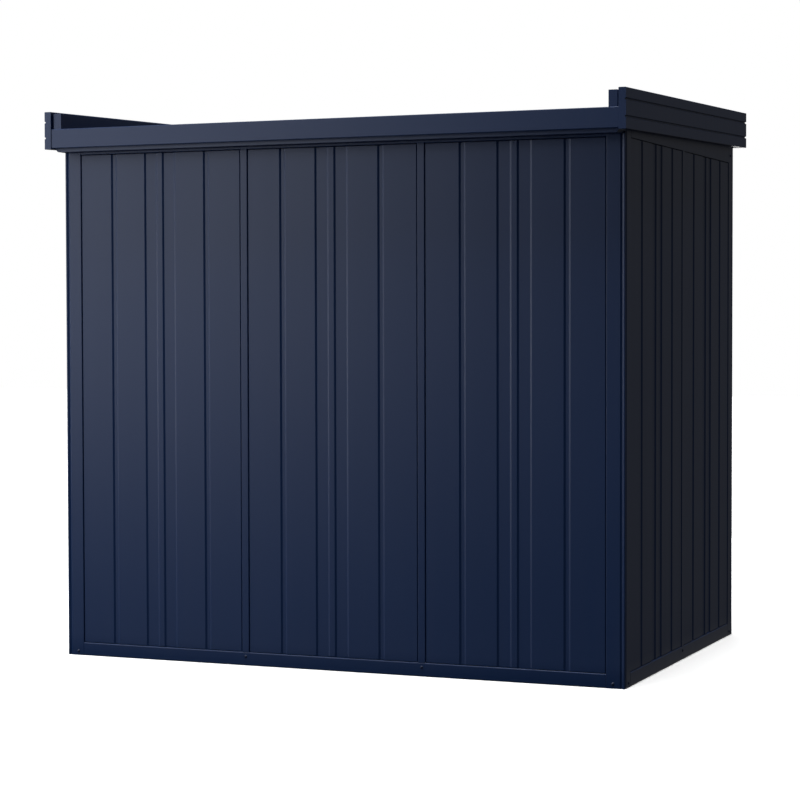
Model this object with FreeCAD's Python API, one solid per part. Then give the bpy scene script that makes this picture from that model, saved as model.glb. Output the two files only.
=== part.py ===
"""A free-standing steel storage shed with a low pent roof behind a boarded parapet.

X runs along the rear wall, +Y points to the rear, +Z is up. The origin is on the ground,
under the middle of the roof. Left and right are those of a person who faces the doors.
On a wall, u runs along it, v is the depth from its outer face and z is the height.
"""
import FreeCAD, Part
import math
import os

Vec = FreeCAD.Vector

# ---- Driving dimensions, in millimetres -------------------------------------------------
wall_width = 2320.0          # outer faces of the side walls
wall_depth = 1560.0          # outer faces of the front and rear walls
panel_top = 1994.0           # top edge of the rear and side panels
rail_height = 52.0           # base rails and threshold
roof_slope = 1.79            # degrees, rising to the front
side_overhang = 32.0         # parapet boards outside the side walls
end_overhang = 100.0         # parapet boards beyond the front and rear walls
parapet_height = 147.0
parapet_rise = 18.0          # side boards' rear underside above the panels
roof_rise = 35.0             # roof underside above the underside of the side boards

# Sheet metal
panel_sheet = 0.8
frame_sheet = 1.5
bend = 1.5                   # inner bend radius
frame_depth = 30.0           # depth of posts and panels behind the wall face

# Posts and panels
post_face = 72.0
seam_face = 30.0
jamb_face = 45.0
jamb_depth = 44.0
panel_recess = 2.0           # panel face behind the post face
panel_gap = 2.5              # open joint round a panel
panel_jog = 9.0              # depth at which a panel edge meets its post
rear_bays = 3
side_bays = 2

# Pressed channels in the panels
channel_depth = 4.0
channel_slope = 7.0          # run of each sloped side
wide_channel = 58.0
wide_offset = 39.5           # centre of a wide channel from the panel's middle
narrow_channel = 26.0
narrow_offset = 204.0        # centre of a narrow channel from the panel's middle
channel_margin = 25.0        # least flat strip at a panel's edge

# Corner bead of the posts: a shallow groove each side of the corner
bead_width = 6.0
groove_middle = 13.0
groove_end = 19.0
groove_depth = 4.0

# Rails
rail_upstand = 30.0
header_drop = 50.0           # header's underside below the tops of the other panels
ledge_width = 60.0
base_flange = 62.0           # bottom flange of the side and rear base rails
rail_bend = 2.5

# Anchor holes in the side rails
anchor_radius = 5.5
anchor_inset_x = 45.0
anchor_inset_y = 130.0

# Parapet boards, liners and end caps
board_thickness = 28.0
board_sheet = 1.2
board_groove_mouth = 9.0
board_groove_root = 3.0
board_groove_depth = 5.0
board_groove_places = (0.28, 0.70)   # share of the height, from the top
cap_thickness = 2.0
board_round = 2.0
liner_width = 33.0
liner_gap = 7.0              # between a board and its liner
liner_drop = 7.0             # liner top below the board top
liner_setback = 11.0         # liner end from the board end
soffit_drop = 14.0
spacer_size = 40.0
spacer_count = 4

# Gutter across the rear
band_height = 75.0
band_setback = 3.0           # band face from the board ends
band_hem = 6.0
gutter_end_gap = 1.0         # to the inner faces of the boards
trough_drop = 13.5           # trough bottom below the band
trough_setback = 23.0        # trough lip behind the band face
trough_back_height = 42.0
trough_front_height = 62.0

# Roof
roof_sheets = 3
roof_rib_height = 22.0
roof_rib_base = 60.0
roof_rib_top = 30.0
roof_ribs = 3
roof_overhang = 68.0         # sheets past the rear wall, over the trough
beam_count = 2
beam_width = 50.0
beam_height = 38.0

# Doors
door_opening = 1500.0
side_clearance = 3.0
meeting_clearance = 5.0
top_clearance = 4.0
bottom_clearance = 6.0
skin_flange = 30.0
leaf_depth = 34.0
stile_width = 36.0
lock_rail_below = 44.0       # past the lock cylinder
lock_rail_above = 56.0       # past the spindle
lock_rail_web = 30.0
seal_size = 8.0
seal_gap = 0.5
meeting_seal_width = 3.0
meeting_seal_start = 4.0     # behind the wall face

# Hinges
hinge_count = 3
hinge_height = 90.0
hinge_end_distance = 190.0
knuckle_radius = 8.0
pin_radius = 4.0
running_clearance = 0.06
knuckle_gap = 1.0            # knuckle in front of the wall face
hinge_flap = 34.0
hinge_plate = 2.0
hinge_play = 1.0
hinge_flap_gap = 1.5         # flap past the other half's knuckle

# Lock, handle and rods
handle_height = 1000.0
handle_backset = 58.0        # spindle from the meeting edge
cylinder_drop = 72.0
plug_radius = 6.5
plug_proud = 8.0
keyway_width = 1.4
keyway_depth = 4.0
neck_radius = 8.0
spindle_radius = 4.5
passage_clearance = 2.0
escutcheon_width = 36.0
escutcheon_margin = 48.0     # past the spindle and the cylinder
escutcheon_plate = 5.0
escutcheon_round = 8.0
lever_length = 118.0
lever_height = 20.0
lever_thickness = 11.0
lever_reach = 42.0
lock_case_left = 8.0         # lock case from the meeting edge
lock_case_width = 76.0
lock_case_wall = 2.0
rod_radius = 5.0
rod_depth = 50.0             # rod axis behind the wall face
rod_inset = 22.0             # rod axis from the meeting edge
rod_rest_gap = 9.0           # rod end inside the leaf's end at rest
rod_in_case = 30.0           # rod end inside the lock case
guide_width = 26.0
guide_height = 18.0
guide_end_distance = 45.0
guide_lock_distance = 160.0
bolt_length = 230.0          # shoot bolts of the passive leaf
knob_radius = 4.0
knob_length = 22.0
rod_cover = 3.0              # guide or case past a rod
keeper_clearance = 2.0
keeper_land = 5.0            # flange past a keeper hole

# Domed bolts
dome_radius = 6.0
dome_height = 3.5
shank_radius = 3.0
shank_length = 12.0
shank_clearance = 0.3
foot_bolt_inset = 46.0       # from the corner
foot_bolt_height = 16.0
seam_bolt_height = 35.0
top_bolt_rise = 30.0         # above the panels

# ---- Sizes that follow ------------------------------------------------------------------
seam_depth = frame_depth - rail_bend
parapet_bottom = panel_top + parapet_rise
header_bottom = panel_top - header_drop
top_bolt_height = panel_top + top_bolt_rise
rail_flange = rod_depth + rod_radius + keeper_clearance + keeper_land
lock_case_depth = rod_depth + rod_radius + rod_cover - leaf_depth
hinge_axis_out = knuckle_radius + knuckle_gap
hinge_flap_start = knuckle_radius + hinge_flap_gap
half_width = wall_width / 2
half_depth = wall_depth / 2
board_face = half_width + side_overhang
board_back = board_face - board_thickness
board_end = half_depth + end_overhang
slope = math.tan(math.radians(roof_slope))
liner_outer = board_back - liner_gap
liner_inner = liner_outer - liner_width
leaf_width = (door_opening - 2 * side_clearance - meeting_clearance) / 2
leaf_bottom = rail_height + bottom_clearance
leaf_top = header_bottom - top_clearance
meeting_edge = meeting_clearance / 2
hinge_edge = meeting_edge + leaf_width
hinge_axis = door_opening / 2 - side_clearance / 2
frame_start = channel_depth + panel_sheet + 0.2
rod_x = meeting_edge + rod_inset
spindle_x = meeting_edge + handle_backset
cylinder_height = handle_height - cylinder_drop
lock_rail_bottom = cylinder_height - lock_rail_below
lock_rail_top = handle_height + lock_rail_above
lock_rail_height = lock_rail_top - lock_rail_bottom

pieces = {}


def board_under(y):
    """Height of the underside of a side board at y."""
    return parapet_bottom + (board_end - y) * slope


def roof_under(y):
    """Height of the underside of the roof sheets at y."""
    return board_under(y) + roof_rise


# ---- Sheet metal helpers ----------------------------------------------------------------
def direction(a, b):
    """Unit vector from a to b, both (u, v)."""
    length = math.hypot(b[0] - a[0], b[1] - a[1])
    return (b[0] - a[0]) / length, (b[1] - a[1]) / length


def shifted(points, distance, closed=False):
    """The line moved to its left, with its corners kept sharp."""
    count = len(points)
    result = []
    for i, (u, v) in enumerate(points):
        legs = []
        if closed or i > 0:
            legs.append(direction(points[i - 1], points[i]))
        if closed or i < count - 1:
            legs.append(direction(points[i], points[(i + 1) % count]))
        nu = sum(-leg[1] for leg in legs)
        nv = sum(leg[0] for leg in legs)
        grow = distance * len(legs) / (nu * nu + nv * nv)
        result.append((u + nu * grow, v + nv * grow))
    return result


def rounded_face(corners, place):
    """A face whose corners are (u, v, radius), put in space by place(u, v)."""
    count = len(corners)
    starts, edges, arcs = [], [], []
    for i, (u, v, radius) in enumerate(corners):
        before = direction((u, v), corners[i - 1][:2])
        after = direction((u, v), corners[(i + 1) % count][:2])
        if radius <= 0:
            starts.append(((u, v), (u, v), None))
            continue
        half_angle = math.acos(max(-1.0, min(1.0, before[0] * after[0] + before[1] * after[1]))) / 2
        reach = radius / math.tan(half_angle)
        middle = direction((0, 0), (before[0] + after[0], before[1] + after[1]))
        centre = radius / math.sin(half_angle)
        near = centre - radius
        starts.append((
            (u + before[0] * reach, v + before[1] * reach),
            (u + after[0] * reach, v + after[1] * reach),
            (u + middle[0] * near, v + middle[1] * near),
        ))
    for i, (first, last, middle) in enumerate(starts):
        if middle:
            edges.append(Part.Arc(place(*first), place(*middle), place(*last)).toShape())
        following = starts[(i + 1) % count][0]
        if math.hypot(following[0] - last[0], following[1] - last[1]) > 1e-6:
            edges.append(Part.LineSegment(place(*last), place(*following)).toShape())
    return Part.Face(Part.Wire(Part.__sortEdges__(edges)))


def folded(path, sheet, place, radius=bend):
    """The section of a folded sheet: path is its visible side, the metal lies to its left."""
    inside = shifted(path, sheet)
    outer, inner = [], []
    for i, (point, other) in enumerate(zip(path, inside)):
        if i in (0, len(path) - 1):
            outer.append((*point, 0))
            inner.append((*other, 0))
            continue
        a = direction(path[i - 1], point)
        b = direction(point, path[i + 1])
        turn = a[0] * b[1] - a[1] * b[0]
        outer.append((*point, radius + sheet if turn > 0 else radius))
        inner.append((*other, radius if turn > 0 else radius + sheet))
    return rounded_face(outer + inner[::-1], place)


def on_wall(wall, u, v, z):
    """A point u along a wall, v behind its outer face."""
    if wall == "rear":
        return Vec(u, half_depth - v, z)
    if wall == "front":
        return Vec(u, v - half_depth, z)
    if wall == "left":
        return Vec(v - half_width, u, z)
    return Vec(half_width - v, u, z)


def upright(wall, path, sheet, low, high, radius=bend):
    """A folded sheet that stands up a wall; its path is (u, v)."""
    section = folded(path, sheet, lambda u, v: on_wall(wall, u, v, low), radius)
    return section.extrude(Vec(0, 0, high - low))


def rail(wall, path, sheet, start, end, radius=bend):
    """A folded sheet that runs along a wall; its path is (v, z)."""
    section = folded(path, sheet, lambda v, z: on_wall(wall, start, v, z), radius)
    return section.extrude(on_wall(wall, end, 0, 0) - on_wall(wall, start, 0, 0))


def box(x0, x1, y0, y1, z0, z1):
    """A box between two corners, whichever way round they are given."""
    low = Vec(min(x0, x1), min(y0, y1), min(z0, z1))
    return Part.makeBox(abs(x1 - x0), abs(y1 - y0), abs(z1 - z0), low)


def wall_box(wall, u0, u1, v0, v1, z0, z1):
    """A box on a wall."""
    a = on_wall(wall, u0, v0, z0)
    b = on_wall(wall, u1, v1, z1)
    return box(a.x, b.x, a.y, b.y, a.z, b.z)


def rod(radius, start, end):
    """A round bar between two points."""
    return Part.makeCylinder(radius, start.distanceToPoint(end), start, end - start)


def inward(wall):
    """The direction from a wall's outer face into the shed."""
    return on_wall(wall, 0, 1, 0) - on_wall(wall, 0, 0, 0)


def fused(shapes):
    """Several touching shapes as one solid."""
    whole = shapes[0]
    for shape in shapes[1:]:
        whole = whole.fuse(shape)
    whole = whole.removeSplitter()
    return whole.Solids[0] if len(whole.Solids) == 1 else whole


def mirrored(shape):
    """The same piece on the other side of the shed."""
    return shape.mirror(Vec(0, 0, 0), Vec(1, 0, 0))


def channels(width):
    """Centres and widths of the pressed channels that fit a panel of this width."""
    places = [(-narrow_offset, narrow_channel), (-wide_offset, wide_channel),
              (wide_offset, wide_channel), (narrow_offset, narrow_channel)]
    room = width / 2 - channel_margin
    return [(width / 2 + c, w) for c, w in places if abs(c) + w / 2 <= room]


def ribbed_path(start, width, edge, face):
    """Path of a ribbed panel from start, with edge points (u, v) mirrored at its far side."""
    path = list(edge)
    for centre, mouth in channels(width):
        left, right = centre - mouth / 2, centre + mouth / 2
        path += [(left, face), (left + channel_slope, face + channel_depth)]
        path += [(right - channel_slope, face + channel_depth), (right, face)]
    path += [(width - u, v) for u, v in reversed(edge)]
    return [(start + u, v) for u, v in path]


# ---- Bolts ------------------------------------------------------------------------------
def bay_starts(wall_length, bays):
    """Where each panel starts, and the width of a panel."""
    width = (wall_length - 2 * post_face - (bays - 1) * seam_face) / bays
    first = -wall_length / 2 + post_face
    return [first + i * (width + seam_face) for i in range(bays)], width


rear_starts, rear_bay = bay_starts(wall_width, rear_bays)
side_starts, side_bay = bay_starts(wall_depth, side_bays)


def bolt_places():
    """Each domed bolt as (wall, u, z)."""
    places = []
    for wall, half in (("rear", half_width), ("front", half_width),
                       ("left", half_depth), ("right", half_depth)):
        for sign in (-1, 1):
            places.append((wall, sign * (half - foot_bolt_inset), foot_bolt_height))
            if wall in ("left", "right"):
                places.append((wall, sign * (half - foot_bolt_inset), top_bolt_height))
    for start in rear_starts[1:]:
        places.append(("rear", start - seam_face / 2, seam_bolt_height))
    for start in side_starts[1:]:
        places.append(("left", start - seam_face / 2, seam_bolt_height))
        places.append(("right", start - seam_face / 2, seam_bolt_height))
    return places


def domed_bolt(wall, u, z):
    """A low dome on the wall face with its shank behind it."""
    face = on_wall(wall, u, 0, z)
    into = inward(wall)
    ball_radius = (dome_radius ** 2 + dome_height ** 2) / (2 * dome_height)
    ball = Part.makeSphere(ball_radius, face + into * (ball_radius - dome_height))
    disc = rod(dome_radius + 1, face - into * (dome_height + 1), face)
    return fused([ball.common(disc), rod(shank_radius, face, face + into * shank_length)])


def drilled(shape, wall):
    """The piece with a hole for each bolt of that wall."""
    for place, u, z in bolt_places():
        if place == wall:
            face = on_wall(wall, u, 0, z)
            into = inward(wall)
            hole = rod(shank_radius + shank_clearance, face - into, face + into * shank_length)
            shape = shape.cut(hole)
    return shape


pieces["domed_bolts"] = Part.makeCompound([domed_bolt(*place) for place in bolt_places()])


# ---- Posts ------------------------------------------------------------------------------
def corner_post(end, side):
    """An L-shaped post with a beaded corner and a return flange at each edge."""
    sign_y = 1 if end == "rear" else -1
    sign_x = 1 if side == "right" else -1
    leg = [(bead_width, 0), (groove_middle, groove_depth), (groove_end, 0),
           (post_face, 0), (post_face, frame_depth)]
    path = [(v, u) for u, v in reversed(leg)] + [(0, 0)] + leg
    top = roof_under(half_depth if end == "rear" else post_face - half_depth)

    def place(u, v):
        return Vec(sign_x * (half_width - u), sign_y * (half_depth - v), 0)

    post = folded(path, frame_sheet, place).extrude(Vec(0, 0, top))
    return drilled(drilled(post, end), side)


def channel_post(wall, middle, face, depth, low, high):
    """A U-shaped post, open to the inside."""
    half = face / 2
    path = [(middle - half, depth), (middle - half, 0), (middle + half, 0), (middle + half, depth)]
    return upright(wall, path, frame_sheet, low, high)


for end in ("rear", "front"):
    for side in ("left", "right"):
        pieces["corner_post_" + end + "_" + side] = corner_post(end, side)
for name, start in zip(("left", "right"), rear_starts[1:]):
    seam = channel_post("rear", start - seam_face / 2, seam_face, seam_depth, rail_height, panel_top)
    pieces["seam_post_rear_" + name] = seam
for side in ("left", "right"):
    middle = side_starts[1] - seam_face / 2
    pieces["seam_post_" + side] = channel_post(
        side, middle, seam_face, seam_depth, rail_height, panel_top)
    middle = (door_opening + jamb_face) / 2 * (-1 if side == "left" else 1)
    pieces["door_jamb_" + side] = channel_post(
        "front", middle, jamb_face, jamb_depth, rail_height, header_bottom)


# ---- Panels -----------------------------------------------------------------------------
def wall_panel(wall, start, width, top):
    """A ribbed panel whose edges turn in and meet the posts behind an open joint."""
    edge = [(0, frame_depth), (0, panel_jog), (panel_gap, panel_jog - panel_gap),
            (panel_gap, panel_recess)]
    path = ribbed_path(start, width, edge, panel_recess)
    return upright(wall, path, panel_sheet, rail_height + panel_gap, top - panel_gap)


for name, start in zip(("left", "middle", "right"), rear_starts):
    pieces["rear_panel_" + name] = wall_panel("rear", start, rear_bay, panel_top)
for side in ("left", "right"):
    for name, start in zip(("front", "rear"), side_starts):
        pieces[side + "_panel_" + name] = wall_panel(side, start, side_bay, panel_top)
front_bay = half_width - post_face - door_opening / 2 - jamb_face
pieces["front_panel_right"] = wall_panel("front", door_opening / 2 + jamb_face, front_bay, header_bottom)
pieces["front_panel_left"] = mirrored(pieces["front_panel_right"])


# ---- Rails ------------------------------------------------------------------------------
def base_path(flange_top, flange_bottom):
    """Section of a base rail: bottom flange, face and top flange."""
    return [(flange_top, rail_height), (0, rail_height), (0, 0), (flange_bottom, 0)]


def base_rail(wall, length):
    """A base rail with an upstand behind the panels."""
    path = [(frame_depth, rail_height + rail_upstand), *base_path(frame_depth, base_flange)]
    reach = length / 2 - post_face
    body = rail(wall, path, frame_sheet, -reach, reach, rail_bend)
    if wall in ("left", "right"):
        for y in (-1, 1):
            place = on_wall(wall, y * (half_depth - anchor_inset_y), anchor_inset_x, 0)
            body = body.cut(rod(anchor_radius, place - Vec(0, 0, 5), place + Vec(0, 0, 20)))
    return drilled(body, wall)


def keeper_holes(shape, height):
    """The piece with a hole at each rod of the doors."""
    for x in (-rod_x, rod_x):
        middle = on_wall("front", x, rod_depth, height)
        across = Vec(0, 0, 10)
        shape = shape.cut(rod(rod_radius + keeper_clearance, middle - across, middle + across))
    return shape


def panel_stops(low, high):
    """Strips behind the front panels, which end at the jambs."""
    inner, outer = door_opening / 2 + jamb_face, half_width - post_face
    strip = wall_box("front", inner, outer, frame_depth, frame_depth + frame_sheet, low, high)
    return [strip, mirrored(strip)]


def threshold():
    """The front base rail, with a wider top flange under the doors."""
    reach = half_width - post_face
    body = rail("front", base_path(rail_flange, rail_flange), frame_sheet, -reach, reach, rail_bend)
    stops = panel_stops(rail_height - frame_sheet, rail_height + rail_upstand)
    return drilled(keeper_holes(fused([body, *stops]), rail_height), "front")


def front_header():
    """The rail over the doors and the front panels."""
    reach = half_width - post_face
    top = roof_under(ledge_width - half_depth)
    path = [(ledge_width, top), (0, top), (0, header_bottom), (rail_flange, header_bottom)]
    body = rail("front", path, frame_sheet, -reach, reach)
    stops = panel_stops(header_bottom - rail_upstand, header_bottom + frame_sheet)
    return keeper_holes(fused([body, *stops]), header_bottom)


def rear_top_rail():
    """The rail over the rear panels, with a flange under the roof sheets."""
    reach = half_width - post_face
    top = roof_under(half_depth)
    path = [(ledge_width, top), (0, top), (0, panel_top), (frame_depth, panel_top),
            (frame_depth, panel_top - rail_upstand)]
    return rail("rear", path, frame_sheet, -reach, reach)


def gable_rail(side):
    """The wedge over the side panels, with a sloped ledge under the roof sheets."""
    reach = half_depth - post_face
    top = roof_under(-reach)
    path = [(0, top), (0, panel_top), (frame_depth, panel_top), (frame_depth, panel_top - rail_upstand)]
    body = rail(side, path, frame_sheet, -reach, reach)
    over = [on_wall(side, -reach, -1, roof_under(-reach)), on_wall(side, reach, -1, roof_under(reach)),
            on_wall(side, reach, -1, top + 10), on_wall(side, -reach, -1, top + 10)]
    waste = Part.Face(Part.makePolygon(over + over[:1])).extrude(inward(side) * (ledge_width + 2))
    ledge_start = [on_wall(side, -reach, v, roof_under(-reach) - drop)
                   for v, drop in ((0, frame_sheet), (ledge_width, frame_sheet), (ledge_width, 0), (0, 0))]
    ledge = Part.Face(Part.makePolygon(ledge_start + ledge_start[:1]))
    run = on_wall(side, reach, 0, roof_under(reach)) - on_wall(side, -reach, 0, roof_under(-reach))
    return fused([body.cut(waste), ledge.extrude(run)])


pieces["base_rail_rear"] = base_rail("rear", wall_width)
pieces["base_rail_left"] = base_rail("left", wall_depth)
pieces["base_rail_right"] = base_rail("right", wall_depth)
pieces["threshold_rail"] = threshold()
pieces["front_header"] = front_header()
pieces["rear_top_rail"] = rear_top_rail()
pieces["gable_rail_left"] = gable_rail("left")
pieces["gable_rail_right"] = gable_rail("right")


# ---- Parapet ----------------------------------------------------------------------------
def board_outline():
    """Outline of a board as (depth from its face, height), anticlockwise."""
    points = [(0, parapet_height), (board_thickness, parapet_height), (board_thickness, 0), (0, 0)]
    for share in reversed(board_groove_places):
        middle = parapet_height * (1 - share)
        points += [(0, middle - board_groove_mouth / 2), (board_groove_depth, middle - board_groove_root / 2),
                   (board_groove_depth, middle + board_groove_root / 2), (0, middle + board_groove_mouth / 2)]
    return points


def board_face_at(place, hollow):
    """The section of a board, hollow or full."""
    outline = board_outline()
    full = rounded_face([(d, h, board_round if h in (0, parapet_height) else 0) for d, h in outline], place)
    if not hollow:
        return full
    core = rounded_face([(*point, 0) for point in shifted(outline, -board_sheet, closed=True)], place)
    return full.cut(core)


def mitre_waste(keep_front):
    """What the mitre at the front right corner takes from one of its two boards."""
    outer = Vec(board_face, -board_end, parapet_bottom - 50)
    along = Vec(-1, 1, 0).normalize()
    across = Vec(1, 1, 0).normalize() * (2 * board_thickness if keep_front else -2 * board_thickness)
    a = outer - along * board_thickness
    b = outer + along * 3 * board_thickness
    face = Part.Face(Part.makePolygon([a, b, b + across, a + across, a]))
    return face.extrude(Vec(0, 0, 2 * parapet_height + end_overhang))


def side_board():
    """The right board: it follows the roof's slope and its ends are upright."""
    rear = board_end - cap_thickness
    section = board_face_at(lambda d, h: Vec(board_face - d, rear, board_under(rear) + h), True)
    length = rear + board_end
    return section.extrude(Vec(0, -length, length * slope)).cut(mitre_waste(False))


def front_board():
    """The front board, level, mitred into both side boards."""
    low = board_under(-board_end)
    section = board_face_at(lambda d, h: Vec(-board_face, d - board_end, low + h), True)
    waste = mitre_waste(True)
    return section.extrude(Vec(2 * board_face, 0, 0)).cut(waste).cut(mirrored(waste))


def end_cap():
    """Closes the rear end of the right board."""
    rear = board_end - cap_thickness
    section = board_face_at(lambda d, h: Vec(board_face - d, rear, board_under(rear) + h), False)
    return section.extrude(Vec(0, cap_thickness, 0))


def tube_between(section_at, run, sheet, width, height):
    """A rectangular tube from a section placed by section_at(a, b), extruded along run."""
    outline = [(0, 0), (width, 0), (width, height), (0, height)]
    outer = rounded_face([(*p, bend) for p in outline], section_at)
    inner = rounded_face([(*p, 0) for p in shifted(outline, sheet, closed=True)], section_at)
    return outer.cut(inner).extrude(run)


def side_liner():
    """The right liner: a tube beside the board, closed at the rear, with spacers to the board."""
    rear = board_end - liner_setback
    front = -(board_end - board_thickness - liner_gap)
    height = parapet_height - liner_drop - roof_rise

    def place(a, b):
        return Vec(liner_inner + a, rear, roof_under(rear) + b)

    length = rear - front
    tube = tube_between(place, Vec(0, -length, length * slope), frame_sheet, liner_width, height)
    outline = [(0, 0), (liner_width, 0), (liner_width, height), (0, height)]
    plug = rounded_face([(*p, bend) for p in outline], place)
    parts = [tube, plug.extrude(Vec(0, -frame_sheet, 0))]
    pitch = length / spacer_count
    for i in range(spacer_count):
        y = rear - (i + 0.5) * pitch
        low = roof_under(y) + (height - spacer_size) / 2
        parts.append(box(liner_outer, board_back, y - spacer_size / 2, y + spacer_size / 2,
                         low, low + spacer_size))
    return fused(parts)


def front_liner():
    """The liner behind the front board, with the soffit that closes the overhang from below."""
    front = -(board_end - board_thickness - liner_gap)
    low = board_under(-board_end) + soffit_drop
    height = board_under(-board_end) + parapet_height - liner_drop - low

    def place(a, b):
        return Vec(-liner_inner, front + a, low + b)

    tube = tube_between(place, Vec(2 * liner_inner, 0, 0), frame_sheet, liner_width, height)
    soffit = box(-liner_inner, liner_inner, -(board_end - board_thickness), -half_depth,
                 low, low + frame_sheet)
    return fused([tube, soffit])


pieces["parapet_board_right"] = side_board()
pieces["parapet_board_left"] = mirrored(pieces["parapet_board_right"])
pieces["parapet_board_front"] = front_board()
pieces["parapet_end_caps"] = Part.makeCompound([end_cap(), mirrored(end_cap())])
pieces["parapet_liner_right"] = side_liner()
pieces["parapet_liner_left"] = mirrored(pieces["parapet_liner_right"])
pieces["parapet_liner_front"] = front_liner()


# ---- Gutter -----------------------------------------------------------------------------
band_face = board_end - band_setback
band_back = band_face - frame_sheet
band_low = board_under(board_end) + 4.0
gutter_half = board_back - gutter_end_gap


def gutter_band():
    """The visible rear face of the gutter, hemmed at both edges."""
    top = band_low + band_height
    path = [(band_face - band_hem, top), (band_face, top), (band_face, band_low),
            (band_face - band_hem, band_low)]
    section = folded(path[::-1], frame_sheet, lambda y, z: Vec(-gutter_half, y, z))
    return section.extrude(Vec(2 * gutter_half, 0, 0))


def trough_block(inset, top):
    """The trough's outer form, or with an inset its hollow, with slanted lower ends."""
    shelf = band_low + frame_sheet
    low = band_low - trough_drop
    lip = band_face - trough_setback
    outline = [(half_depth, low), (lip, low), (lip, shelf), (band_back, shelf), (band_back, top),
               (half_depth, top)]
    if inset:
        outline = shifted(outline, inset, closed=True)
        outline[4] = (outline[4][0], top)
        outline[5] = (outline[5][0], top)
    reach = gutter_half - inset
    corners = [(*p, bend if i == 3 else 0) for i, p in enumerate(outline)]
    block = rounded_face(corners, lambda y, z: Vec(-reach, y, z)).extrude(Vec(2 * reach, 0, 0))
    slant = shelf - low
    base = outline[0][1]
    ends = [Vec(reach - slant, -1, base), Vec(reach + 1, -1, base), Vec(reach + 1, -1, base + slant + 1)]
    wedge = Part.Face(Part.makePolygon(ends + ends[:1])).extrude(Vec(0, board_end * 2, 0))
    return block.cut(wedge).cut(mirrored(wedge))


def gutter_trough():
    """The open trough behind the band; its back is lower, so the sheets reach over it."""
    base = band_low - trough_drop
    front_top = base + trough_drop + trough_front_height
    trough = trough_block(0, front_top).cut(trough_block(frame_sheet, front_top + 1))
    back_top = base + trough_back_height
    return trough.cut(box(-board_face, board_face, half_depth - 1, band_back - 2 * frame_sheet,
                          back_top, front_top + 1))


pieces["gutter_band"] = gutter_band()
pieces["gutter_trough"] = gutter_trough()


# ---- Roof -------------------------------------------------------------------------------
def roof_sheet(index):
    """A sheet with trapezoid ribs and an upstand at each edge."""
    width = 2 * liner_inner / roof_sheets
    start = -liner_inner + index * width
    rear = half_depth + roof_overhang
    front = liner_width - (board_end - board_thickness - liner_gap)
    path = [(0, roof_rib_height), (0, 0)]
    for i in range(roof_ribs):
        middle = width * (i + 0.5) / roof_ribs
        base, top = roof_rib_base / 2, roof_rib_top / 2
        path += [(middle - base, 0), (middle - top, roof_rib_height),
                 (middle + top, roof_rib_height), (middle + base, 0)]
    path += [(width, 0), (width, roof_rib_height)]
    section = folded(path, panel_sheet, lambda u, z: Vec(start + u, rear, roof_under(rear) + z))
    length = rear - front
    return section.extrude(Vec(0, -length, length * slope))


def roof_beam(y):
    """A U-shaped beam under the sheets, open downwards, from gable to gable."""
    top = roof_under(y + beam_width / 2) - frame_sheet
    half = beam_width / 2
    path = [(y + half, top - beam_height), (y + half, top), (y - half, top), (y - half, top - beam_height)]
    reach = half_width - frame_sheet
    section = folded(path, frame_sheet, lambda v, z: Vec(-reach, v, z))
    return section.extrude(Vec(2 * reach, 0, 0))


for index, name in enumerate(("left", "middle", "right")):
    pieces["roof_sheet_" + name] = roof_sheet(index)
beam_pitch = wall_depth / (beam_count + 1)
pieces["roof_beams"] = Part.makeCompound(
    [roof_beam(-half_depth + (i + 1) * beam_pitch) for i in range(beam_count)])


# ---- Doors ------------------------------------------------------------------------------
def leaf_holes(shape, radius_spindle, radius_cylinder):
    """The piece with passages for the spindle and the lock cylinder."""
    for height, radius in ((handle_height, radius_spindle), (cylinder_height, radius_cylinder)):
        start = on_wall("front", spindle_x, -20, height)
        end = on_wall("front", spindle_x, 80, height)
        shape = shape.cut(rod(radius, start, end))
    return shape


def leaf_skin():
    """The ribbed outer skin of the right leaf, turned in at both sides."""
    edge = [(0, skin_flange), (0, 0)]
    path = ribbed_path(meeting_edge, leaf_width, edge, 0)
    return upright("front", path, panel_sheet, leaf_bottom, leaf_top)


def leaf_frame():
    """The right leaf's frame: two stiles and three rails, channels open to the middle."""
    left, right = meeting_edge + panel_sheet, hinge_edge - panel_sheet
    frame = wall_box("front", left, right, frame_start, leaf_depth, leaf_bottom, leaf_top)
    web = (lock_rail_height - lock_rail_web) / 2
    deep = stile_width - frame_sheet
    windows = ((leaf_bottom + stile_width, lock_rail_bottom, deep, web),
               (lock_rail_top, leaf_top - stile_width, web, deep))
    for low, high, below, above in windows:
        frame = frame.cut(wall_box("front", left + stile_width, right - stile_width,
                                   frame_start - 1, leaf_depth + 1, low, high))
        frame = frame.cut(wall_box("front", left + frame_sheet, right - frame_sheet,
                                   frame_start + frame_sheet, leaf_depth - frame_sheet,
                                   low - below, high + above))
    return frame


def hinge_heights():
    """Middle of each hinge."""
    low, high = leaf_bottom + hinge_end_distance, leaf_top - hinge_end_distance
    return [low + i * (high - low) / (hinge_count - 1) for i in range(hinge_count)]


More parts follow.
